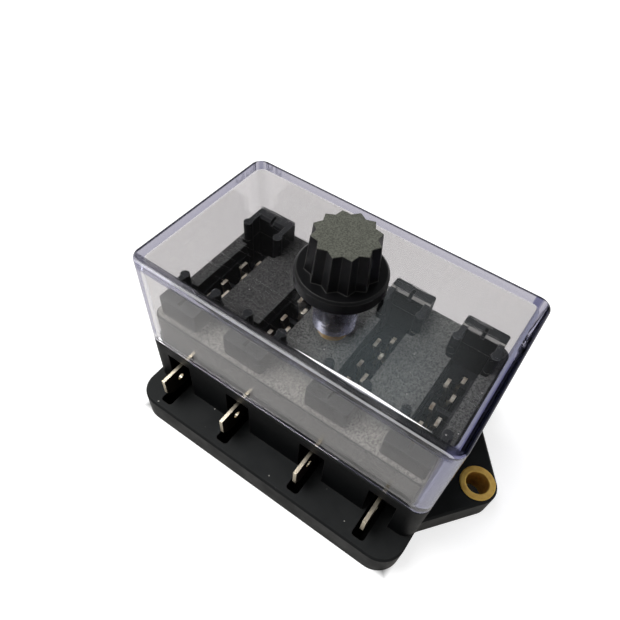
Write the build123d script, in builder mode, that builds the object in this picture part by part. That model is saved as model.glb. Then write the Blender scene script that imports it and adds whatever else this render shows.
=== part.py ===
import os
from math import atan2, cos, degrees, sin, tau

from build123d import *

os.makedirs("parts", exist_ok=True)

# Four-way blade fuse box, millimetres. The origin is under the middle of the base,
# +X runs along the row of fuses and +Z is up.

# Base moulding
box_length = 70.4          # body and cover rim, along X
box_width = 40.6
box_corner = 3.0
flange_width = 55.6
flange_thickness = 7.1
flange_corner = 5.5
body_height = 20.8         # shelf on which the cover stands
deck_height = 29.5
deck_corner = 2.4
edge_chamfer = 0.45

# Ears with their eyelets
eyelet_pitch = 82.6
ear_tip_radius = 4.6
ear_root_half = 15.3
ear_blend = 3.0
eyelet_head_radius = 4.0
eyelet_bore_radius = 2.65
eyelet_wall = 0.45
eyelet_lip = 0.7
eyelet_mouth_round = 0.95   # funnel from the lip into the bore
eyelet_lip_round = 0.3
eyelet_sink = 0.35
eyelet_fit = 0.03

# Fuse positions
fuse_count = 4
fuse_pitch = 16.8
middle_gap = 19.7          # the two middle positions stand further apart for the screw
fuse_slot_width = 6.2
fuse_slot_half = 8.5
fuse_seat_height = 26.7    # ledges on which the fuse's body stands
fuse_seat_ledge = 0.5
slot_floor = 20.0
pocket_width = 9.6
pocket_corner = 0.75
pocket_floor = 22.5
divider_thickness = 1.2
divider_height = 24.0

# Guide towers at the ends of each fuse
tower_width = 9.4
tower_inner = 10.95        # from the middle of the box to the ends of the arms
tower_outer = 16.9
tower_wall = 3.2
tower_arm = 1.25
tower_height = 4.8
tower_corner = 0.6
arm_bead_radius = 1.05     # round post at the end of each arm
arm_bead_inset = 0.5       # from the tower's side to the middle of the post
arm_bead_lead = 0.5        # from the arm's end to the middle of the post
notch_width = 0.8
notch_depth = 1.2
notch_skin = 1.0           # wall left outside the notch
lead_chamfer = 0.6         # lead-in along the top of the end wall

# Terminal recesses in the two long sides
recess_width = 6.3
recess_depth = 4.5
recess_top = 17.95

# Stamped terminals
stock = 0.8
tab_width = 6.3
tab_bottom = 8.55
tab_reach = 25.1
tab_chamfer = 1.8
tab_hole_radius = 0.8
tab_hole_inset = 4.7
blade_pitch = 9.3
blade_thickness = 0.65
clip_width = 7.0
clip_top = 26.8
clip_root = 19.0
finger_gap = 0.5
middle_finger_width = 2.4
finger_flare = 0.55
finger_lip = 1.6
cross_rise = 2.4
terminal_clearance = 0.05
drop_slot_width = 3.0
drop_slot_corner = 0.75
drop_slot_clearance = 0.9

# Underside
core_width = 7.6
core_length = 29.0
core_height = 16.0
core_corner = 1.5

# Screw, insert and knob
screw_radius = 1.95
insert_bore_radius = 2.0
insert_radius = 3.2
insert_length = 8.0
insert_groove = 0.35
insert_band = 2.2
screw_tip_gap = 1.0        # above the insert's lower end
screw_tip_chamfer = 0.5
screw_head_radius = 3.0
screw_head_sides = 6
screw_head_height = 4.0
screw_head_depth = 3.0     # from the knob's underside to the head inside the grip
knob_flange_radius = 8.87
knob_flange_thickness = 2.8
knob_gap = 0.2
knob_chamfer = 0.45
grip_points = 12
grip_height = 7.85
grip_tip_radius_bottom = 7.05
grip_tip_radius_top = 6.35
grip_depth = 1.0           # from a point's tip to the valley beside it
grip_turn = 10.0

# Cover
cover_top = 45.3
cover_wall = 1.6
cover_roof = 2.0
cover_draft = 0.2
cover_clearance = 0.3
cover_seat_gap = 0.1
cover_edge = 0.7
cover_inner_corner = 2.2
cover_inner_chamfer = 0.5  # inside, between the roof and the walls
cover_rim_chamfer = 0.35
boss_radius = 4.5
boss_gap = 3.0             # above the deck
boss_bore_radius = 2.3

tolerance = 0.01           # for picking edges and corners by their place

# Worked out from the sizes above
half_count = fuse_count // 2
fuse_places = [side * (middle_gap / 2 + place * fuse_pitch) for side in (-1, 1) for place in range(half_count)]
fuse_places.sort()
ear_x = eyelet_pitch / 2
cover_inner_length = box_length - 2 * (cover_draft + cover_wall)
cover_inner_width = box_width - 2 * (cover_draft + cover_wall)
deck_length = cover_inner_length - 2 * cover_clearance
deck_width = cover_inner_width - 2 * cover_clearance
eyelet_seat_radius = eyelet_bore_radius + eyelet_wall
tab_top = tab_bottom + tab_width
clip_middle = blade_pitch / 2
plate_offset = (blade_thickness + stock) / 2
cover_rim = body_height + cover_seat_gap
boss_bottom = deck_height + boss_gap
screw_tip_height = deck_height - insert_length + screw_tip_gap
knob_bottom = cover_top + knob_gap
grip_bottom = knob_bottom + knob_flange_thickness
grip_top = grip_bottom + grip_height


def both_sides(points):
    """The same points on the near and the far side of the box."""
    return [(x, side * y) for x, y in points for side in (-1, 1)]


def on_each_fuse(offset):
    """A place at every fuse position, on both sides, at this distance from the middle."""
    return both_sides([(place, offset) for place in fuse_places])


def save(node, label):
    """Names the finished piece and writes it to its own file."""
    node.part.label = label
    export_step(node.part, f"parts/{label}.step")
    print(label, round(node.part.volume, 2))


# Base: flange and ears, body, fuse deck and guide towers
with BuildPart() as base:
    with BuildSketch() as flange_outline:
        RectangleRounded(box_length, flange_width, flange_corner)
        with BuildSketch(mode=Mode.PRIVATE) as ear:
            with Locations((ear_x, 0)):
                Circle(ear_tip_radius)
            with Locations((box_length / 2 - ear_tip_radius, 0)):
                Rectangle(2 * ear_tip_radius, 2 * ear_root_half)
            make_hull()
        add(ear.sketch)
        add(mirror(ear.sketch, about=Plane.YZ, mode=Mode.PRIVATE))
        ear_roots = flange_outline.vertices().filter_by(
            lambda v: abs(abs(v.X) - box_length / 2) < tolerance
            and abs(v.Y) < flange_width / 2 - flange_corner - tolerance
        )
        fillet(ear_roots, ear_blend)
    extrude(amount=flange_thickness)
    chamfer(base.edges().group_by(Axis.Z)[-1], edge_chamfer)

    with BuildSketch(Plane.XY.offset(flange_thickness)):
        RectangleRounded(box_length, box_width, box_corner)
    extrude(amount=body_height - flange_thickness)

    with BuildSketch(Plane.XY.offset(body_height)):
        RectangleRounded(deck_length, deck_width, deck_corner)
    extrude(amount=deck_height - body_height)
    chamfer(base.edges().group_by(Axis.Z)[-1], edge_chamfer)

    tower_depth = tower_outer - tower_inner
    with BuildSketch(Plane.XY.offset(deck_height)) as towers:
        with Locations(*on_each_fuse(tower_inner + tower_depth / 2)):
            Rectangle(tower_width, tower_depth)
        outer_corners = towers.vertices().filter_by(lambda v: abs(v.Y) > tower_outer - tolerance)
        fillet(outer_corners, tower_corner)
    extrude(amount=tower_height)

    # Room between the arms, which runs on down as a pocket at each end of the fuse
    pocket_length = tower_outer - tower_wall - fuse_slot_half
    arm_room = tower_width - 2 * tower_arm
    with BuildSketch(Plane.XY.offset(pocket_floor)):
        with Locations(*on_each_fuse(fuse_slot_half + pocket_length / 2)):
            Rectangle(arm_room, pocket_length)
    extrude(amount=deck_height + tower_height - pocket_floor, mode=Mode.SUBTRACT)

    # The pockets widen in front of the arms
    with BuildSketch(Plane.XY.offset(pocket_floor)):
        with Locations(*on_each_fuse((fuse_slot_half + tower_inner) / 2)):
            RectangleRounded(pocket_width, tower_inner - fuse_slot_half, pocket_corner)
    extrude(amount=deck_height - pocket_floor, mode=Mode.SUBTRACT)

    # A round post stands at the end of each arm
    bead_offset = tower_width / 2 - arm_bead_inset
    with BuildSketch(Plane.XY.offset(pocket_floor)):
        with Locations(*on_each_fuse(tower_inner - arm_bead_lead)):
            with Locations((-bead_offset, 0), (bead_offset, 0)):
                Circle(arm_bead_radius)
    extrude(amount=deck_height + tower_height - pocket_floor)

    # Slot that takes the fuse's body, and below its ledges the room for the two clips
    for floor, width in (
        (fuse_seat_height, fuse_slot_width),
        (slot_floor, fuse_slot_width - 2 * fuse_seat_ledge),
    ):
        with BuildSketch(Plane.XY.offset(floor)):
            with Locations(*[(place, 0) for place in fuse_places]):
                Rectangle(width, 2 * fuse_slot_half)
        extrude(amount=deck_height - floor, mode=Mode.SUBTRACT)

    # Divider between the two clips
    with BuildSketch(Plane.XY.offset(slot_floor)):
        with Locations(*[(place, 0) for place in fuse_places]):
            Rectangle(fuse_slot_width, divider_thickness)
    extrude(amount=divider_height - slot_floor)

    # Lead-in along the top of each tower's end wall, and a notch in its middle
    wall_inside = tower_outer - tower_wall
    tower_top = deck_height + tower_height
    lead_edges = base.edges().filter_by(
        lambda e: abs(e.center().Z - tower_top) < tolerance
        and abs(abs(e.center().Y) - wall_inside) < tolerance
        and abs(e.length - arm_room) < tolerance
    )
    chamfer(lead_edges, lead_chamfer)
    notch_length = tower_wall - notch_skin
    with BuildSketch(Plane.XY.offset(tower_top - notch_depth)):
        with Locations(*on_each_fuse(wall_inside + notch_length / 2)):
            Rectangle(notch_width, notch_length)
    extrude(amount=notch_depth, mode=Mode.SUBTRACT)

    # Terminal recesses, open to the front and the back
    with BuildSketch(Plane.XY.offset(flange_thickness)):
        with Locations(*on_each_fuse(box_width / 2 - recess_depth / 2)):
            Rectangle(recess_width, recess_depth)
    extrude(amount=recess_top - flange_thickness, mode=Mode.SUBTRACT)

    # Chimneys through which the terminals are pushed up from below
    chimney_length = clip_width + 2 * terminal_clearance
    chimney_width = 2 * (plate_offset + stock / 2 + finger_flare + terminal_clearance)
    with BuildSketch():
        with Locations(*on_each_fuse(clip_middle)):
            Rectangle(chimney_width, chimney_length)
    extrude(amount=slot_floor, mode=Mode.SUBTRACT)

    # Narrow slots for the tabs, level with each terminal's plate, and wider where they pass the flange
    plate_slot = stock + 2 * terminal_clearance
    web_end = box_width / 2 - recess_depth
    web_start = clip_middle + clip_width / 2
    web_top = tab_top + terminal_clearance
    drop_end = tab_reach + drop_slot_clearance
    for side in (-1, 1):
        plates = [place + side * plate_offset for place in fuse_places]
        with BuildSketch():
            with Locations(*[(x, side * (web_start + web_end) / 2) for x in plates]):
                Rectangle(plate_slot, web_end - web_start + 2 * terminal_clearance)
        extrude(amount=web_top, mode=Mode.SUBTRACT)
        with BuildSketch():
            with Locations(*[(x, side * (web_end + drop_end) / 2) for x in plates]):
                RectangleRounded(drop_slot_width, drop_end - web_end, drop_slot_corner)
        extrude(amount=flange_thickness, mode=Mode.SUBTRACT)

    # Cored pockets under the deck, between the fuse positions
    core_places = [(left + right) / 2 for left, right in zip(fuse_places, fuse_places[1:])]
    with BuildSketch():
        with Locations(*[(place, 0) for place in core_places]):
            RectangleRounded(core_width, core_length, core_corner)
    extrude(amount=core_height, mode=Mode.SUBTRACT)

    # Seats of the brass insert and of the two eyelets
    with Locations((0, 0, deck_height)):
        Hole(insert_radius, depth=insert_length)
    with Locations((-ear_x, 0, flange_thickness), (ear_x, 0, flange_thickness)):
        CounterBoreHole(eyelet_seat_radius + eyelet_fit, eyelet_head_radius + eyelet_fit, eyelet_sink)
    with Locations(Plane.XY.rotated((180, 0, 0))):
        with Locations((-ear_x, 0, 0), (ear_x, 0, 0)):
            CounterBoreHole(eyelet_seat_radius + eyelet_fit, eyelet_head_radius + eyelet_fit, eyelet_sink + eyelet_lip)
save(base, "base")


# Cover: drafted clear box, open below, with the screw boss under its roof
draft_angle = degrees(atan2(cover_draft, cover_top - cover_rim))
with BuildPart() as cover:
    with BuildSketch(Plane.XY.offset(cover_rim)):
        RectangleRounded(box_length, box_width, box_corner)
    extrude(amount=cover_top - cover_rim, taper=draft_angle)
    fillet(cover.edges().group_by(Axis.Z)[-1], cover_edge)
    chamfer(cover.edges().group_by(Axis.Z)[0], cover_rim_chamfer)
    cover_inner_top = cover_top - cover_roof
    rim_inner_length = cover_inner_length + 2 * cover_draft
    rim_inner_width = cover_inner_width + 2 * cover_draft
    with BuildSketch(Plane.XY.offset(cover_rim)):
        RectangleRounded(rim_inner_length, rim_inner_width, cover_inner_corner)
    extrude(amount=cover_inner_top - cover_rim, taper=draft_angle, mode=Mode.SUBTRACT)
    roof_edges = cover.edges().filter_by(lambda e: abs(e.center().Z - cover_inner_top) < tolerance)
    chamfer(roof_edges, cover_inner_chamfer)
    with BuildSketch(Plane.XY.offset(boss_bottom)):
        Circle(boss_radius)
    extrude(amount=cover_inner_top - boss_bottom)
    chamfer(cover.edges().filter_by(GeomType.CIRCLE).group_by(Axis.Z)[0], edge_chamfer)
    with Locations((0, 0, cover_top)):
        Hole(boss_bore_radius)
save(cover, "cover")


# Knob: round flange and a tapered grip with twelve points
def star(tip_radius):
    """Outline of the grip, with its points at the tips and its valleys half way between."""
    valley_radius = tip_radius - grip_depth
    step = tau / grip_points
    start = grip_turn * tau / 360
    outline = []
    for point in range(grip_points):
        tip = start + point * step
        outline.append((tip_radius * cos(tip), tip_radius * sin(tip)))
        outline.append((valley_radius * cos(tip + step / 2), valley_radius * sin(tip + step / 2)))
    return outline


with BuildPart() as knob:
    with BuildSketch(Plane.XY.offset(knob_bottom)):
        Circle(knob_flange_radius)
    extrude(amount=knob_flange_thickness)
    chamfer(knob.edges().group_by(Axis.Z)[-1], knob_chamfer)
    with BuildSketch(Plane.XY.offset(grip_bottom)):
        Polygon(*star(grip_tip_radius_bottom), align=None)
    with BuildSketch(Plane.XY.offset(grip_top)):
        Polygon(*star(grip_tip_radius_top), align=None)
    loft(ruled=True)
    # Room for the screw's head, which is moulded in
    with BuildSketch(Plane.XY.offset(knob_bottom)):
        Circle(screw_radius)
    extrude(amount=screw_head_depth, mode=Mode.SUBTRACT)
    with BuildSketch(Plane.XY.offset(knob_bottom + screw_head_depth)):
        RegularPolygon(screw_head_radius, screw_head_sides)
    extrude(amount=screw_head_height, mode=Mode.SUBTRACT)
save(knob, "knob")


# Screw: plain shank below the knob and a hexagon head inside it
with BuildPart() as knob_screw:
    with BuildSketch(Plane.XY.offset(screw_tip_height)):
        Circle(screw_radius)
    extrude(amount=knob_bottom + screw_head_depth - screw_tip_height)
    chamfer(knob_screw.edges().group_by(Axis.Z)[0], screw_tip_chamfer)
    with BuildSketch(Plane.XY.offset(knob_bottom + screw_head_depth)):
        RegularPolygon(screw_head_radius, screw_head_sides)
    extrude(amount=screw_head_height)
save(knob_screw, "knob_screw")


# Insert: turned brass bush with two grooves that lock it in the deck
insert_bottom = deck_height - insert_length
with BuildPart() as threaded_insert:
    with BuildSketch(Plane.XZ):
        with BuildLine():
            groove_start = insert_bottom + (insert_length - insert_band) / 2
            groove_end = groove_start + insert_band
            Polyline(
                (insert_bore_radius, insert_bottom),
                (insert_radius, insert_bottom),
                (insert_radius, groove_start),
                (insert_radius - insert_groove, groove_start),
                (insert_radius - insert_groove, groove_end),
                (insert_radius, groove_end),
                (insert_radius, deck_height),
                (insert_bore_radius, deck_height),
                close=True,
            )
        make_face()
    revolve(axis=Axis.Z)
save(threaded_insert, "threaded_insert")


# Eyelets: rolled brass tube with a round lip above and below
lip_top = flange_thickness - eyelet_sink + eyelet_lip
lip_bottom = eyelet_sink
for label, x in (("eyelet_left", -ear_x), ("eyelet_right", ear_x)):
    with BuildPart() as eyelet:
        with BuildSketch(Plane((x, 0, 0), x_dir=(1, 0, 0), z_dir=(0, -1, 0))) as eyelet_section:
            with BuildLine():
                Polyline(
                    (eyelet_bore_radius, lip_bottom),
                    (eyelet_head_radius, lip_bottom),
                    (eyelet_head_radius, lip_bottom + eyelet_lip),
                    (eyelet_seat_radius, lip_bottom + eyelet_lip),
                    (eyelet_seat_radius, lip_top - eyelet_lip),
                    (eyelet_head_radius, lip_top - eyelet_lip),
                    (eyelet_head_radius, lip_top),
                    (eyelet_bore_radius, lip_top),
                    close=True,
                )
            make_face()
            lip_corners = eyelet_section.vertices().filter_by(
                lambda v: min(abs(v.Z - lip_top), abs(v.Z - lip_bottom)) < tolerance
            )
            mouth_corners = lip_corners.filter_by(lambda v: abs(v.X - x) < eyelet_seat_radius)
            rim_corners = lip_corners.filter_by(lambda v: abs(v.X - x) > eyelet_seat_radius)
            fillet(mouth_corners, eyelet_mouth_round)
            fillet(rim_corners, eyelet_lip_round)
        revolve(axis=Axis((x, 0, 0), (0, 0, 1)))
    save(eyelet, label)


# Terminals: one stamping, a flat plate that is a tab outside and three fingers inside.
# It is drawn for the near side of a fuse at the middle of the box.
plate_back = plate_offset + stock / 2
grip_face = blade_thickness / 2
finger_root = clip_root - stock
flare_start = clip_top - finger_lip
flared_face = grip_face + finger_flare
cross_start = clip_root
cross_end = clip_root + cross_rise
clip_near = clip_middle - clip_width / 2
clip_far = clip_middle + clip_width / 2
outer_finger_width = (clip_width - middle_finger_width) / 2 - finger_gap

with BuildPart() as terminal:
    with BuildSketch(Plane.YZ.offset(-plate_back)) as plate:
        with Locations((-(tab_reach + clip_near) / 2, (tab_bottom + tab_top) / 2)):
            Rectangle(tab_reach - clip_near, tab_width)
        tip_corners = plate.vertices().group_by(Axis.Y)[0]
        chamfer(tip_corners, tab_chamfer)
        with Locations((-clip_middle, (tab_bottom + clip_root) / 2)):
            Rectangle(clip_width, clip_root - tab_bottom)
        with Locations((-(tab_reach - tab_hole_inset), (tab_bottom + tab_top) / 2)):
            Circle(tab_hole_radius, mode=Mode.SUBTRACT)
    extrude(amount=stock)

    # Two outer fingers go on straight up from the plate and flare away from the blade
    for start in (clip_near, clip_far - outer_finger_width):
        with BuildSketch(Plane.XZ.offset(start)):
            with BuildLine():
                Polyline(
                    (-grip_face, finger_root),
                    (-grip_face, flare_start),
                    (-flared_face, clip_top),
                    (-flared_face - stock, clip_top),
                    (-grip_face - stock, flare_start),
                    (-grip_face - stock, finger_root),
                    close=True,
                )
            make_face()
        extrude(amount=outer_finger_width)

    # The middle finger crosses to the other face of the blade
    with BuildSketch(Plane.XZ.offset(clip_middle - middle_finger_width / 2)):
        with BuildLine():
            Polyline(
                (-plate_back, finger_root),
                (-plate_back, cross_start),
                (grip_face, cross_end),
                (grip_face, flare_start),
                (flared_face, clip_top),
                (flared_face + stock, clip_top),
                (grip_face + stock, flare_start),
                (grip_face + stock, cross_end),
                (-grip_face, cross_start),
                (-grip_face, finger_root),
                close=True,
            )
        make_face()
    extrude(amount=middle_finger_width)

for side, turn in (("front", 0), ("rear", 180)):
    for number, place in enumerate(fuse_places, start=1):
        with BuildPart() as fitted_terminal:
            with Locations(Location((place, 0, 0), (0, 0, turn))):
                add(terminal.part)
        save(fitted_terminal, f"terminal_{side}_{number}")
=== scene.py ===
from math import atan, cos, degrees, pi, radians, sin, tau

import bmesh
import bpy
from mathutils import Matrix, Vector


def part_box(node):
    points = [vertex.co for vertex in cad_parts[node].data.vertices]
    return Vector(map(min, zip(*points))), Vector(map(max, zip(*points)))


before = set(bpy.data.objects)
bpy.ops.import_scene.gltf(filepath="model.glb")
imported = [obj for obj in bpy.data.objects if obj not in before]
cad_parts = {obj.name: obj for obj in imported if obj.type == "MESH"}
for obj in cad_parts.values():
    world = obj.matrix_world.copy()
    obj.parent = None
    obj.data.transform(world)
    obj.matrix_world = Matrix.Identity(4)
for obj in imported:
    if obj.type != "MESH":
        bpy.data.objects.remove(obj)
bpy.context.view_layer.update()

MM = 0.001

# Places in the fuse box, read from the frame
base_low, base_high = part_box("base")
cover_low, cover_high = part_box("cover")
knob_low, knob_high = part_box("knob")
screw_low, screw_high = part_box("knob_screw")
eyelet_low, eyelet_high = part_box("eyelet_right")
eyelet_middle = (eyelet_low.x + eyelet_high.x) / 2

# The raised deck's sides stand this far in from the cover's outside
deck_inset = 2.2 * MM
deck_half_length = cover_high.x - deck_inset
deck_half_width = cover_high.y - deck_inset
deck_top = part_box("threaded_insert")[1].z
# The deck's top is painted lighter around this place along X, a painted sheen for a broad reflection of the window
deck_sheen_middle = 12 * MM
lead_in_middle = 14.0 * MM
speck_spacing = 1.7 * MM
speck_size = 0.11            # of the largest specks, against their spacing
deck_sheen_reach = 27 * MM

# The photograph's camera, in metres in the frame
eye = Vector((31.432, -62.355, 117.884)) * MM
aim = Vector((-0.372, -8.175, 30.0)) * MM
camera_roll = radians(5.837)
focal_length = 31.03
sensor_width = 36.0
frame_shift_x = 0.0020
frame_shift_y = 0.0708

# Screw boss under the cover's roof
boss_reach = 4.6 * MM
roof_underside = cover_high.z - 2.05 * MM
boss_frosting = 0.22
wall_depth = 2.0 * MM
edge_line = 1.3 * MM

# The painted glint along the inside of the roof's front edge
glint_place = -17.4 * MM
glint_middle = 15.4 * MM
glint_reach = 13.5 * MM
glint_width = 0.45 * MM
glint_strength = 1.3
edge_glint_strength = 0.55

# Count of turns after which light inside the clear sheet is taken as guided and shown by a painted glow
guided_depth = 3.5

# Light
ambient_strength = 0.35
room_walls = 0.9
room_ceiling = 0.035
window_glow = 0.74
# Slopes x/z and y/z of the headings between which the window shows in the cover's top
window_left, window_right = (-0.43, -0.30), (-0.14, 0.04)
window_near, window_far = (0.45, 0.58), (0.72, 1.02)
floor_glow_seen = 0.72
floor_fade = (0.25, 0.60)
floor_glow_mirrored = 0.36
floor_glow_near = 0.16
floor_paint = 0.5
shade_inset = 2 * MM
eyelet_shade = 0.01         # share of the floor's light left under an eyelet


def link(tree, source, target):
    """Joins two sockets of a material or a group."""
    tree.links.new(source, target)


def new_material(name):
    """An empty node material and its output node."""
    material = bpy.data.materials.new(name)
    material.use_nodes = True
    tree = material.node_tree
    tree.nodes.clear()
    return material, tree, tree.nodes.new("ShaderNodeOutputMaterial")


def principled(tree, **values):
    """A Principled shader with plain values on its own sockets."""
    shader = tree.nodes.new("ShaderNodeBsdfPrincipled")
    for name, value in values.items():
        shader.inputs[name.replace("_", " ").title().replace("Ior", "IOR")].default_value = value
    return shader


def math_node(tree, operation, first, second=None, third=None, clamp=False):
    """A Math node. Each input is a number or a socket."""
    node = tree.nodes.new("ShaderNodeMath")
    node.operation = operation
    node.use_clamp = clamp
    for place, value in enumerate((first, second, third)):
        if value is None:
            continue
        if isinstance(value, (int, float)):
            node.inputs[place].default_value = value
        else:
            tree.links.new(value, node.inputs[place])
    return node.outputs[0]


def blend_colours(tree, factor, first, second):
    """Mixes two colours, each a tuple or a socket."""
    node = tree.nodes.new("ShaderNodeMix")
    node.data_type = "RGBA"
    for socket, value in ((node.inputs["Factor"], factor), (node.inputs["A"], first), (node.inputs["B"], second)):
        if isinstance(value, (int, float)):
            socket.default_value = value
        elif isinstance(value, tuple):
            socket.default_value = (*value, 1.0)
        else:
            tree.links.new(value, socket)
    return node.outputs["Result"]


def span(tree, value, low, high, to_low=0.0, to_high=1.0):
    """Maps a value from one range to another, clamped."""
    node = tree.nodes.new("ShaderNodeMapRange")
    tree.links.new(value, node.inputs["Value"])
    node.inputs["From Min"].default_value = low
    node.inputs["From Max"].default_value = high
    node.inputs["To Min"].default_value = to_low
    node.inputs["To Max"].default_value = to_high
    return node.outputs["Result"]


def noise(tree, vector, scale, detail=3.0, roughness=0.5):
    """Soft noise in the range 0 to 1."""
    node = tree.nodes.new("ShaderNodeTexNoise")
    node.inputs["Scale"].default_value = scale
    node.inputs["Detail"].default_value = detail
    node.inputs["Roughness"].default_value = roughness
    tree.links.new(vector, node.inputs["Vector"])
    return node.outputs["Fac"]


def object_place(tree):
    """The place on the piece, in metres in the frame."""
    return tree.nodes.new("ShaderNodeTexCoord").outputs["Object"]


def group_with(name, inputs, outputs):
    """A shader node group with named inputs and outputs."""
    tree = bpy.data.node_groups.new(name, "ShaderNodeTree")
    for socket, kind, value in inputs:
        made = tree.interface.new_socket(socket, in_out="INPUT", socket_type=kind)
        if value is not None:
            made.default_value = value
    for socket, kind in outputs:
        tree.interface.new_socket(socket, in_out="OUTPUT", socket_type=kind)
    return tree, tree.nodes.new("NodeGroupInput"), tree.nodes.new("NodeGroupOutput")


def use_group(tree, group, **values):
    """Places a node group in a material with its own values."""
    node = tree.nodes.new("ShaderNodeGroup")
    node.node_tree = group
    for name, value in values.items():
        node.inputs[name.replace("_", " ")].default_value = value
    return node


def make_moulded_grain():
    """The fine pitted skin of a moulding: a height and a soft mottle."""
    tree, entry, leave = group_with(
        "moulded grain",
        [("Pit size", "NodeSocketFloat", 0.25), ("Mottle size", "NodeSocketFloat", 3.0)],
        [("Height", "NodeSocketFloat"), ("Mottle", "NodeSocketFloat")],
    )
    place = object_place(tree)
    pit_scale = math_node(tree, "DIVIDE", 1.0 / MM, entry.outputs["Pit size"])
    mottle_scale = math_node(tree, "DIVIDE", 1.0 / MM, entry.outputs["Mottle size"])
    pits = tree.nodes.new("ShaderNodeTexVoronoi")
    tree.links.new(place, pits.inputs["Vector"])
    tree.links.new(pit_scale, pits.inputs["Scale"])
    fine = tree.nodes.new("ShaderNodeTexNoise")
    fine.inputs["Detail"].default_value = 4.0
    tree.links.new(place, fine.inputs["Vector"])
    tree.links.new(pit_scale, fine.inputs["Scale"])
    soft = tree.nodes.new("ShaderNodeTexNoise")
    soft.inputs["Detail"].default_value = 3.0
    tree.links.new(place, soft.inputs["Vector"])
    tree.links.new(mottle_scale, soft.inputs["Scale"])
    height = math_node(tree, "ADD", math_node(tree, "MULTIPLY", pits.outputs["Distance"], 0.6), fine.outputs["Fac"])
    tree.links.new(height, leave.inputs["Height"])
    tree.links.new(soft.outputs["Fac"], leave.inputs["Mottle"])
    return tree


def make_rubbed_edge():
    """A mask that is 1 on sharp outer edges, and the normal that rounds them."""
    tree, entry, leave = group_with(
        "rubbed edge",
        [("Radius", "NodeSocketFloat", 0.0003), ("Sharpness", "NodeSocketFloat", 6.0)],
        [("Mask", "NodeSocketFloat"), ("Rounded", "NodeSocketVector")],
    )
    round_off = tree.nodes.new("ShaderNodeBevel")
    round_off.samples = 4
    tree.links.new(entry.outputs["Radius"], round_off.inputs["Radius"])
    geometry = tree.nodes.new("ShaderNodeNewGeometry")
    turn = tree.nodes.new("ShaderNodeVectorMath")
    turn.operation = "DOT_PRODUCT"
    tree.links.new(round_off.outputs["Normal"], turn.inputs[0])
    tree.links.new(geometry.outputs["Normal"], turn.inputs[1])
    away = math_node(tree, "SUBTRACT", 1.0, turn.outputs["Value"])
    mask = math_node(tree, "MULTIPLY", away, entry.outputs["Sharpness"], clamp=True)
    tree.links.new(mask, leave.inputs["Mask"])
    tree.links.new(round_off.outputs["Normal"], leave.inputs["Rounded"])
    return tree


def make_hair_scratches():
    """Fine crossing scratches: a height and a mask."""
    tree, entry, leave = group_with(
        "hair scratches",
        [("Spacing", "NodeSocketFloat", 1.2), ("Amount", "NodeSocketFloat", 0.5)],
        [("Height", "NodeSocketFloat"), ("Mask", "NodeSocketFloat")],
    )
    place = object_place(tree)
    total = None
    for angle, stretch in ((3.0, 0.03), (25.0, 0.04), (-35.0, 0.06), (62.0, 0.05)):
        turned = tree.nodes.new("ShaderNodeMapping")
        turned.inputs["Rotation"].default_value = (0.0, 0.0, radians(angle))
        turned.inputs["Scale"].default_value = (stretch, 1.0, 1.0)
        tree.links.new(place, turned.inputs["Vector"])
        lines = tree.nodes.new("ShaderNodeTexNoise")
        lines.inputs["Detail"].default_value = 2.0
        tree.links.new(turned.outputs["Vector"], lines.inputs["Vector"])
        scale = math_node(tree, "DIVIDE", 1.0 / MM, entry.outputs["Spacing"])
        tree.links.new(scale, lines.inputs["Scale"])
        line = span(tree, lines.outputs["Fac"], 0.66, 0.72)
        total = line if total is None else math_node(tree, "MAXIMUM", total, line)
    mask = math_node(tree, "MULTIPLY", total, entry.outputs["Amount"])
    tree.links.new(mask, leave.inputs["Height"])
    tree.links.new(mask, leave.inputs["Mask"])
    return tree


moulded_grain = make_moulded_grain()
rubbed_edge = make_rubbed_edge()
hair_scratches = make_hair_scratches()


def bump(tree, height, strength, distance, normal=None):
    """A Bump node that takes its height in metres times strength."""
    node = tree.nodes.new("ShaderNodeBump")
    node.inputs["Strength"].default_value = strength
    node.inputs["Distance"].default_value = distance
    tree.links.new(height, node.inputs["Height"])
    if normal is not None:
        tree.links.new(normal, node.inputs["Normal"])
    return node.outputs["Normal"]


def deck_zones(tree):
    """Masks on the base: the deck's grained sides, its top, its painted sheen, its painted lit front strip, what
    stands above it, and the lead-ins that get a painted glint.
    """
    split = tree.nodes.new("ShaderNodeSeparateXYZ")
    tree.links.new(object_place(tree), split.inputs[0])
    side_x = math_node(tree, "GREATER_THAN", math_node(tree, "ABSOLUTE", split.outputs["X"]), deck_half_length)
    side_y = math_node(tree, "GREATER_THAN", math_node(tree, "ABSOLUTE", split.outputs["Y"]), deck_half_width)
    above = span(tree, split.outputs["Z"], cover_low.z + 1 * MM, cover_low.z + 4 * MM)
    sides = math_node(tree, "MULTIPLY", above, math_node(tree, "MAXIMUM", side_x, side_y))
    top = math_node(tree, "COMPARE", split.outputs["Z"], deck_top, 0.1 * MM)
    from_deck_sheen = math_node(tree, "ABSOLUTE", math_node(tree, "SUBTRACT", split.outputs["X"], deck_sheen_middle))
    deck_sheen = span(tree, from_deck_sheen, deck_sheen_reach, 0.0)
    above_deck = math_node(tree, "GREATER_THAN", split.outputs["Z"], deck_top + 0.5 * MM)
    lead_in = math_node(tree, "COMPARE", split.outputs["Y"], lead_in_middle, 0.27 * MM)
    high = math_node(tree, "GREATER_THAN", split.outputs["Z"], base_high.z - 0.57 * MM)
    lead_in = math_node(tree, "MULTIPLY", math_node(tree, "MULTIPLY", lead_in, high),
                        math_node(tree, "GREATER_THAN", split.outputs["X"], 0.0))
    front_lit_strip = span(tree, split.outputs["Y"], -deck_half_width + 6.5 * MM, -deck_half_width + 4 * MM)
    return sides, top, deck_sheen, front_lit_strip, above_deck, lead_in


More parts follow.
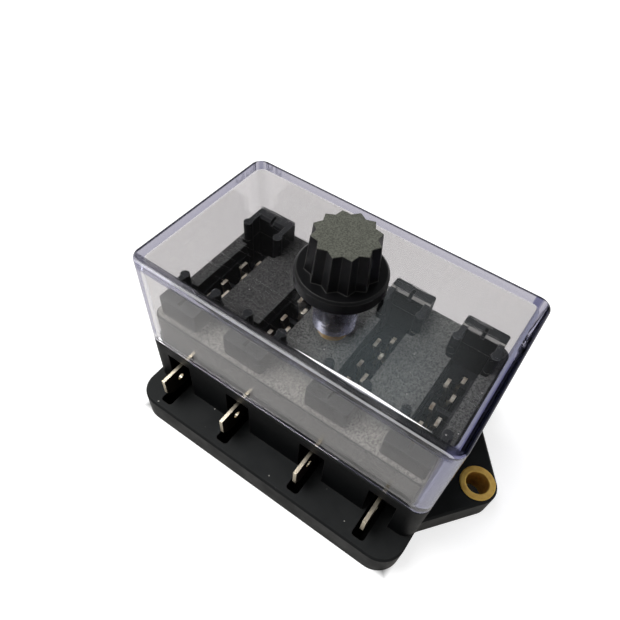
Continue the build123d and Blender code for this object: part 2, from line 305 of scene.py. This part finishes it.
def dust_specks(tree):
    """1 on sparse small specks of dust."""
    cells = tree.nodes.new("ShaderNodeTexVoronoi")
    tree.links.new(object_place(tree), cells.inputs["Vector"])
    cells.inputs["Scale"].default_value = 1.0 / speck_spacing
    chance = tree.nodes.new("ShaderNodeSeparateColor")
    tree.links.new(cells.outputs["Color"], chance.inputs[0])
    size = span(tree, chance.outputs["Red"], 0.6, 1.0, 0.0, speck_size)
    return math_node(tree, "LESS_THAN", cells.outputs["Distance"], size)


def black_moulding():
    """Satin black plastic of the base, with its grain, a dusty mottle, rubbed edges and dust specks, and painted
    light on its upward faces, the deck's top and the lead-ins.
    """
    material, tree, output = new_material("black_moulding")
    shader = principled(tree, specular_ior_level=0.08)
    grain = use_group(tree, moulded_grain, Pit_size=0.42, Mottle_size=5.0)
    edge = use_group(tree, rubbed_edge, Radius=0.00025, Sharpness=5.0)
    dark = blend_colours(tree, grain.outputs["Mottle"], (0.0010, 0.0013, 0.0017), (0.0030, 0.0033, 0.0036))
    sparkle = span(tree, grain.outputs["Height"], 0.55, 1.0)
    frosted = blend_colours(tree, sparkle, (0.02, 0.019, 0.016), (0.12, 0.115, 0.098))
    sides, top, deck_sheen, front_lit_strip, above_deck, lead_in = deck_zones(tree)
    dull = blend_colours(tree, sparkle, (0.016, 0.016, 0.015), (0.060, 0.060, 0.056))
    bright = blend_colours(tree, sparkle, (0.046, 0.048, 0.043), (0.165, 0.168, 0.152))
    front_lit_deck = blend_colours(tree, sparkle, (0.085, 0.082, 0.070), (0.26, 0.25, 0.215))
    # Painted sheen: the deck's top is painted lighter across its middle, for the window's broad reflection in it
    deck_grain_and_sheen = blend_colours(tree, deck_sheen, dull, bright)
    # Painted light: a strip along the deck's front is painted lighter still, for light coming in through the
    # cover's front wall
    deck_grain_and_sheen = blend_colours(tree, front_lit_strip, deck_grain_and_sheen, front_lit_deck)
    # Painted light: faces turned upward are painted lighter than the rest, for the light they catch from above
    lit_top_colour = blend_colours(tree, grain.outputs["Mottle"], (0.010, 0.011, 0.0115), (0.022, 0.023, 0.023))
    facing = tree.nodes.new("ShaderNodeSeparateXYZ")
    link(tree, tree.nodes.new("ShaderNodeTexCoord").outputs["Normal"], facing.inputs[0])
    upward = span(tree, facing.outputs["Z"], 0.5, 0.95)
    dark = blend_colours(tree, upward, dark, lit_top_colour)
    dark = blend_colours(tree, sides, dark, frosted)
    dark = blend_colours(tree, top, dark, deck_grain_and_sheen)
    rubbed = blend_colours(tree, above_deck, (0.026, 0.026, 0.025), (0.10, 0.10, 0.097))
    worn = blend_colours(tree, edge.outputs["Mask"], dark, rubbed)
    # Painted highlight: the lead-in chamfers on the back towers are painted light, for the lamp's glint on them
    worn = blend_colours(tree, lead_in, worn, (0.24, 0.235, 0.21))
    worn = blend_colours(tree, math_node(tree, "MULTIPLY", upward, dust_specks(tree)), worn, (0.30, 0.29, 0.27))
    tree.links.new(worn, shader.inputs["Base Color"])
    tree.links.new(span(tree, grain.outputs["Mottle"], 0.3, 0.7, 0.42, 0.56), shader.inputs["Roughness"])
    tree.links.new(
        bump(tree, grain.outputs["Height"], 0.35, 0.00003, edge.outputs["Rounded"]), shader.inputs["Normal"]
    )
    tree.links.new(shader.outputs[0], output.inputs["Surface"])
    return material


def knob_moulding():
    """Black plastic of the knob, with a lighter grey speckle on top of the grip."""
    material, tree, output = new_material("knob_moulding")
    shader = principled(tree, specular_ior_level=0.12)
    grain = use_group(tree, moulded_grain, Pit_size=0.3, Mottle_size=1.4)
    edge = use_group(tree, rubbed_edge, Radius=0.0003, Sharpness=5.0)
    split = tree.nodes.new("ShaderNodeSeparateXYZ")
    tree.links.new(object_place(tree), split.inputs[0])
    top = span(tree, split.outputs["Z"], knob_high.z - 0.15 * MM, knob_high.z - 0.05 * MM)
    speckle = span(tree, grain.outputs["Height"], 0.55, 1.0)
    grey = blend_colours(tree, speckle, (0.055, 0.057, 0.047), (0.115, 0.118, 0.098))
    body = blend_colours(tree, edge.outputs["Mask"], (0.0045, 0.0045, 0.0050), (0.06, 0.06, 0.056))
    tree.links.new(blend_colours(tree, top, body, grey), shader.inputs["Base Color"])
    tree.links.new(span(tree, top, 0.0, 1.0, 0.33, 0.6), shader.inputs["Roughness"])
    tree.links.new(
        bump(tree, grain.outputs["Height"], 0.3, 0.00005, edge.outputs["Rounded"]), shader.inputs["Normal"]
    )
    tree.links.new(shader.outputs[0], output.inputs["Surface"])
    return material


def cover_zones(tree):
    """Masks on the cover: its screw boss, its outer top edges and the roof's front band where dark and violet are
    painted, and the walls by their sides.
    """
    split = tree.nodes.new("ShaderNodeSeparateXYZ")
    tree.links.new(object_place(tree), split.inputs[0])
    x, y, z = (split.outputs[axis] for axis in "XYZ")
    across = math_node(tree, "MULTIPLY_ADD", x, x, math_node(tree, "MULTIPLY", y, y))
    in_boss = math_node(tree, "LESS_THAN", math_node(tree, "SQRT", across), boss_reach)
    boss = math_node(tree, "MULTIPLY", in_boss, math_node(tree, "LESS_THAN", z, roof_underside))
    left = math_node(tree, "LESS_THAN", x, -cover_high.x + wall_depth)
    right = math_node(tree, "GREATER_THAN", x, cover_high.x - wall_depth)
    front = math_node(tree, "LESS_THAN", y, -cover_high.y + wall_depth)
    back = math_node(tree, "GREATER_THAN", y, cover_high.y - wall_depth)
    rim_x = span(tree, math_node(tree, "ABSOLUTE", x), cover_high.x - edge_line, cover_high.x - 0.8 * edge_line)
    rim_y = span(tree, y, cover_high.y - edge_line, cover_high.y - 0.8 * edge_line)
    on_top = math_node(tree, "GREATER_THAN", z, cover_high.z - edge_line)
    on_top = math_node(tree, "MULTIPLY", on_top, math_node(tree, "SUBTRACT", 1.0, front))
    side_edge = math_node(tree, "MULTIPLY", on_top, rim_x)
    back_edge = math_node(tree, "MULTIPLY", on_top, rim_y)
    # The roof's thickness seen through the front wall is painted as a soft violet band, and painted dark from
    # above, for light guided in the sheet
    outside_front = math_node(tree, "LESS_THAN", y, -cover_high.y + 0.55 * MM)
    roof_band = math_node(tree, "MULTIPLY", outside_front, span(tree, z, roof_underside - 0.2 * MM, roof_underside + 0.1 * MM))
    from_above = math_node(tree, "MULTIPLY", math_node(tree, "GREATER_THAN", z, cover_high.z - 0.1 * MM), front)
    return boss, side_edge, back_edge, math_node(tree, "MAXIMUM", left, back), right, front, roof_band, from_above


def glint_line(tree):
    """A painted glint: an emission that tapers along the inside of the roof's front edge, for rays that came
    through the roof, and a thin one on the edge itself for the camera.
    """
    split = tree.nodes.new("ShaderNodeSeparateXYZ")
    tree.links.new(object_place(tree), split.inputs[0])
    x, y, z = (split.outputs[axis] for axis in "XYZ")
    light = tree.nodes.new("ShaderNodeLightPath")
    first = math_node(tree, "COMPARE", light.outputs["Ray Depth"], 1.0, 0.5)
    width = span(tree, math_node(tree, "ABSOLUTE", math_node(tree, "SUBTRACT", x, glint_middle)),
                 0.0, glint_reach, glint_width, 0.0)
    from_line = math_node(tree, "ABSOLUTE", math_node(tree, "SUBTRACT", y, glint_place))
    on_line = math_node(tree, "LESS_THAN", from_line, width)
    low = math_node(tree, "COMPARE", z, roof_underside, 0.6 * MM)
    glint = math_node(tree, "MULTIPLY", first, math_node(tree, "MULTIPLY", on_line, low))
    glint = math_node(tree, "MULTIPLY", glint, glint_strength)
    on_edge = math_node(tree, "COMPARE", y, -cover_high.y + 0.42 * MM, 0.14 * MM)
    outer = math_node(tree, "GREATER_THAN", z, cover_high.z - 0.5 * MM)
    seen = math_node(tree, "MULTIPLY", math_node(tree, "MULTIPLY", on_edge, outer), light.outputs["Is Camera Ray"])
    return math_node(tree, "MULTIPLY_ADD", seen, edge_glint_strength, glint)


def clear_moulding():
    """Clear plastic of the cover with hair scratches, and painted light and shade: dark and violet bands along its
    edges, darker at grazing angles, a glow and a glint.
    """
    material, tree, output = new_material("clear_moulding")
    shader = principled(tree, transmission_weight=1.0, ior=1.49)
    boss, side_edge, back_edge, left_or_back, right, front, roof_band, from_above = cover_zones(tree)
    light = tree.nodes.new("ShaderNodeLightPath")
    tint = blend_colours(tree, boss, (0.87, 0.86, 0.86), (0.30, 0.31, 0.34))
    # Painted shade and light: the outer top edges at the back and sides are painted near black, the roof's front
    # band violet and dark from above
    tint = blend_colours(tree, back_edge, tint, (0.008, 0.008, 0.014))
    tint = blend_colours(tree, side_edge, tint, (0.004, 0.0042, 0.008))
    tint = blend_colours(tree, roof_band, tint, (0.26, 0.26, 0.38))
    tint = blend_colours(tree, from_above, tint, (0.10, 0.10, 0.12))
    # Painted shade: the sheet is tinted darker where it is seen at a grazing angle
    grazing = tree.nodes.new("ShaderNodeLayerWeight")
    grazing.inputs["Blend"].default_value = 0.5
    tint = blend_colours(tree, span(tree, grazing.outputs["Facing"], 0.80, 0.95), tint, (0.06, 0.06, 0.08))
    # The right wall, seen edge on through the roof, is painted dark blue there as shade
    edge_on = math_node(tree, "MULTIPLY", right, math_node(tree, "GREATER_THAN", light.outputs["Ray Depth"], 1.5))
    tint = blend_colours(tree, edge_on, tint, (0.10, 0.105, 0.19))
    link(tree, tint, shader.inputs["Base Color"])
    # Painted reflection: the reflections on the rims are tinted violet
    rim = math_node(tree, "MAXIMUM", side_edge, back_edge)
    link(tree, blend_colours(tree, rim, (1.0, 1.0, 1.0), (0.16, 0.17, 0.24)), shader.inputs["Specular Tint"])
    scratches = use_group(tree, hair_scratches, Spacing=0.7, Amount=0.6)
    grain = use_group(tree, moulded_grain, Pit_size=6.0, Mottle_size=9.0)
    height = math_node(tree, "ADD", scratches.outputs["Height"], grain.outputs["Mottle"])
    tree.links.new(bump(tree, height, 0.12, 0.00002), shader.inputs["Normal"])
    worn = span(tree, scratches.outputs["Mask"], 0.0, 0.5, 0.0, 0.16)
    soft = math_node(tree, "MAXIMUM", boss, math_node(tree, "MAXIMUM", roof_band, from_above))
    tree.links.new(math_node(tree, "MULTIPLY_ADD", soft, boss_frosting, worn), shader.inputs["Roughness"])
    clear = tree.nodes.new("ShaderNodeBsdfTransparent")
    clear.inputs["Color"].default_value = (0.90, 0.90, 0.91, 1.0)
    # Painted glow: rays that have turned many times inside the sheet get an emission, whose colour goes by the
    # wall, for light guided in the sheet
    deep = math_node(tree, "GREATER_THAN", light.outputs["Ray Depth"], guided_depth)
    glow = blend_colours(tree, left_or_back, (0.11, 0.11, 0.14), (0.27, 0.264, 0.264))
    glow = blend_colours(tree, right, glow, (0.085, 0.085, 0.13))
    glow = blend_colours(tree, front, glow, (0.07, 0.07, 0.085))
    glow = blend_colours(tree, boss, glow, (0.03, 0.03, 0.035))
    glint = glint_line(tree)
    link(tree, blend_colours(tree, glint, glow, (1.0, 1.0, 1.0)), shader.inputs["Emission Color"])
    link(tree, math_node(tree, "MAXIMUM", deep, glint), shader.inputs["Emission Strength"])
    through = tree.nodes.new("ShaderNodeMixShader")
    tree.links.new(light.outputs["Is Shadow Ray"], through.inputs["Fac"])
    tree.links.new(shader.outputs[0], through.inputs[1])
    tree.links.new(clear.outputs[0], through.inputs[2])
    tree.links.new(through.outputs[0], output.inputs["Surface"])
    body = tree.nodes.new("ShaderNodeVolumeAbsorption")
    body.inputs["Color"].default_value = (0.70, 0.70, 0.80, 1.0)
    body.inputs["Density"].default_value = 80.0
    tree.links.new(body.outputs[0], output.inputs["Volume"])
    return material


def metal(name, bright, dull, roughness, streak=0.5, faces=None, edge_radius=0.00012):
    """A metal with a mottled tarnish and rubbed bright edges; on sheet, the faces to the left and right are painted
    darker as shade for the dark surroundings they reflect.
    """
    material, tree, output = new_material(name)
    shader = principled(tree, metallic=1.0)
    grain = use_group(tree, moulded_grain, Pit_size=0.35, Mottle_size=1.6)
    edge = use_group(tree, rubbed_edge, Radius=edge_radius, Sharpness=6.0)
    body = blend_colours(tree, span(tree, grain.outputs["Mottle"], 0.3, 0.7), dull, bright)
    if faces is not None:
        split = tree.nodes.new("ShaderNodeSeparateXYZ")
        link(tree, tree.nodes.new("ShaderNodeTexCoord").outputs["Normal"], split.inputs[0])
        sideways = math_node(tree, "GREATER_THAN", math_node(tree, "ABSOLUTE", split.outputs["X"]), 0.8)
        place = tree.nodes.new("ShaderNodeSeparateXYZ")
        link(tree, object_place(tree), place.inputs[0])
        outside = math_node(tree, "LESS_THAN", place.outputs["Z"], cover_low.z)
        body = blend_colours(tree, outside, body, blend_colours(tree, 0.5, dull, bright))
        # Painted shade: sheet faces turned to the left or right take the darker colour given as faces
        body = blend_colours(tree, sideways, body, faces)
    tree.links.new(blend_colours(tree, edge.outputs["Mask"], body, bright), shader.inputs["Base Color"])
    tree.links.new(
        span(tree, grain.outputs["Mottle"], 0.3, 0.7, roughness + 0.08, roughness), shader.inputs["Roughness"]
    )
    tree.links.new(
        bump(tree, grain.outputs["Height"], streak, 0.000012, edge.outputs["Rounded"]), shader.inputs["Normal"]
    )
    tree.links.new(shader.outputs[0], output.inputs["Surface"])
    return material


def dress(node, material):
    """Gives a CAD node its finish."""
    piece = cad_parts[node]
    piece.data.materials.clear()
    piece.data.materials.append(material)


def dress_all():
    """Puts a finish on every node of the frame."""
    brass = metal("brass", (0.78, 0.60, 0.30), (0.55, 0.40, 0.17), 0.30)
    eyelet_brass = metal("eyelet_brass", (1.0, 0.70, 0.20), (0.80, 0.50, 0.13), 0.55, edge_radius=0.0005)
    # Painted shade: the terminals' side faces are painted dark, for the dark surroundings they reflect
    terminal_brass = metal("terminal_brass", (1.0, 0.94, 0.76), (0.30, 0.22, 0.14), 0.30, 1.0,
                           faces=(0.10, 0.075, 0.052))
    steel = metal("steel", (0.45, 0.40, 0.34), (0.22, 0.19, 0.16), 0.34)
    dress("base", black_moulding())
    dress("cover", clear_moulding())
    dress("knob", knob_moulding())
    dress("knob_screw", steel)
    dress("threaded_insert", brass)
    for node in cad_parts:
        if node.startswith("eyelet"):
            dress(node, eyelet_brass)
        if node.startswith("terminal"):
            dress(node, terminal_brass)


def make_camera():
    """The photograph's viewpoint: a camera aimed at the deck and rolled a little."""
    data = bpy.data.cameras.new("camera")
    data.lens = focal_length
    data.sensor_width = sensor_width
    data.shift_x = frame_shift_x
    data.shift_y = frame_shift_y
    data.clip_start = 1 * MM
    camera = bpy.data.objects.new("camera", data)
    bpy.context.scene.collection.objects.link(camera)
    look = (aim - eye).to_track_quat("-Z", "Y").to_matrix()
    roll = Matrix.Rotation(camera_roll, 3, "Z")
    camera.matrix_world = Matrix.Translation(eye) @ (look @ roll).to_4x4()
    bpy.context.scene.camera = camera
    return camera


def make_room():
    """A white floor that keeps the shadow and is painted dark under the box, and a white room for the camera,
    mirrors and glass.
    """
    bpy.ops.mesh.primitive_plane_add(size=4.0, location=(0, 0, 0))
    floor = bpy.context.object
    floor.name = "floor"
    material, tree, output = new_material("floor_paper")
    paint = tree.nodes.new("ShaderNodeBsdfDiffuse")
    paint.inputs["Color"].default_value = (floor_paint, floor_paint, floor_paint, 1.0)
    glow = tree.nodes.new("ShaderNodeEmission")
    link(tree, blend_colours(tree, tree.nodes.new("ShaderNodeLightPath").outputs["Is Camera Ray"],
                             (1.0, 0.965, 0.89), (1.0, 1.0, 1.0)), glow.inputs["Color"])
    light = tree.nodes.new("ShaderNodeLightPath")
    mirrored = math_node(tree, "MAXIMUM", light.outputs["Is Glossy Ray"], light.outputs["Is Transmission Ray"])
    split = tree.nodes.new("ShaderNodeSeparateXYZ")
    tree.links.new(object_place(tree), split.inputs[0])
    nearness = span(tree, split.outputs["Y"], -base_high.y - 30 * MM, -base_high.y, floor_glow_near, floor_glow_mirrored)
    mirrored = math_node(tree, "MULTIPLY", mirrored, nearness)
    out = tree.nodes.new("ShaderNodeVectorMath")
    out.operation = "LENGTH"
    link(tree, object_place(tree), out.inputs[0])
    whiteness = span(tree, out.outputs["Value"], *floor_fade, floor_glow_seen, 1.0)
    direct = math_node(tree, "MULTIPLY", light.outputs["Is Camera Ray"], whiteness)
    outside = None
    for axis, reach in (("X", cover_high.x), ("Y", base_high.y)):
        from_middle = math_node(tree, "ABSOLUTE", split.outputs[axis])
        past = span(tree, from_middle, reach - shade_inset, reach)
        outside = past if outside is None else math_node(tree, "MAXIMUM", outside, past)
    across = math_node(tree, "SUBTRACT", math_node(tree, "ABSOLUTE", split.outputs["X"]), eyelet_middle)
    away = math_node(tree, "SQRT", math_node(
        tree, "MULTIPLY_ADD", across, across, math_node(tree, "MULTIPLY", split.outputs["Y"], split.outputs["Y"])
    ))
    clear_of_ear = span(tree, math_node(tree, "GREATER_THAN", away, eyelet_high.x - eyelet_middle), 0.0, 1.0, eyelet_shade, 1.0)
    outside = math_node(tree, "MINIMUM", outside, clear_of_ear)
    # Painted shade: under the box's footprint and under the eyelets the floor is painted dark and gives no glow
    paper = blend_colours(tree, outside, (0.01, 0.01, 0.01), (floor_paint, floor_paint, floor_paint))
    tree.links.new(paper, paint.inputs["Color"])
    strength = math_node(tree, "MULTIPLY", math_node(tree, "MAXIMUM", direct, mirrored), outside)
    tree.links.new(strength, glow.inputs["Strength"])
    both = tree.nodes.new("ShaderNodeAddShader")
    tree.links.new(paint.outputs[0], both.inputs[0])
    tree.links.new(glow.outputs[0], both.inputs[1])
    tree.links.new(both.outputs[0], output.inputs["Surface"])
    floor.data.materials.append(material)

    world = bpy.data.worlds.new("room")
    world.use_nodes = True
    bpy.context.scene.world = world
    tree = world.node_tree
    tree.nodes.clear()
    sky = tree.nodes.new("ShaderNodeBackground")
    light = tree.nodes.new("ShaderNodeLightPath")
    mirrored = math_node(tree, "MAXIMUM", light.outputs["Is Glossy Ray"], light.outputs["Is Transmission Ray"])
    heading = tree.nodes.new("ShaderNodeTexCoord").outputs["Generated"]
    split = tree.nodes.new("ShaderNodeSeparateXYZ")
    tree.links.new(heading, split.inputs[0])
    rise = math_node(tree, "MAXIMUM", split.outputs["Z"], 0.05)
    slope_x = math_node(tree, "DIVIDE", split.outputs["X"], rise)
    slope_y = math_node(tree, "DIVIDE", split.outputs["Y"], rise)
    window = span(tree, slope_x, *window_left)
    window = math_node(tree, "MULTIPLY", window, span(tree, slope_x, *window_right, 1.0, 0.0))
    window = math_node(tree, "MULTIPLY", window, span(tree, slope_y, *window_near))
    window = math_node(tree, "MULTIPLY", window, span(tree, slope_y, *window_far, 1.0, 0.2))
    walls = span(tree, split.outputs["Z"], 0.40, 0.62, room_walls, room_ceiling)
    bright = math_node(tree, "MULTIPLY_ADD", window, window_glow, walls)
    strength = math_node(tree, "MULTIPLY", mirrored, math_node(tree, "SUBTRACT", bright, ambient_strength))
    strength = math_node(tree, "ADD", strength, ambient_strength)
    strength = math_node(tree, "MAXIMUM", strength, light.outputs["Is Camera Ray"])
    tree.links.new(strength, sky.inputs["Strength"])
    cool = math_node(tree, "MULTIPLY", mirrored, window)
    tree.links.new(blend_colours(tree, cool, (1.0, 1.0, 1.0), (0.82, 0.96, 1.0)), sky.inputs["Color"])
    output = tree.nodes.new("ShaderNodeOutputWorld")
    tree.links.new(sky.outputs[0], output.inputs["Surface"])


def area_lamp(name, place, target, size, power, colour=(1.0, 1.0, 1.0)):
    """A rectangular soft lamp aimed at a point, all in metres and watts."""
    data = bpy.data.lights.new(name, "AREA")
    data.shape = "RECTANGLE"
    data.size, data.size_y = size
    data.energy = power
    data.color = colour
    lamp = bpy.data.objects.new(name, data)
    bpy.context.scene.collection.objects.link(lamp)
    place, target = Vector(place), Vector(target)
    lamp.rotation_mode = "QUATERNION"
    lamp.rotation_quaternion = (target - place).to_track_quat("-Z", "Y")
    lamp.location = place
    return lamp


def make_lamps():
    """One large soft lamp, high to the left and a little to the front."""
    middle = (0.0, 0.0, 0.02)
    area_lamp("key", (-1.00, -0.35, 1.60), middle, (1.3, 1.3), 40.0)


make_camera()
make_room()
make_lamps()
dress_all()

bpy.context.scene.view_settings.view_transform = "Standard"
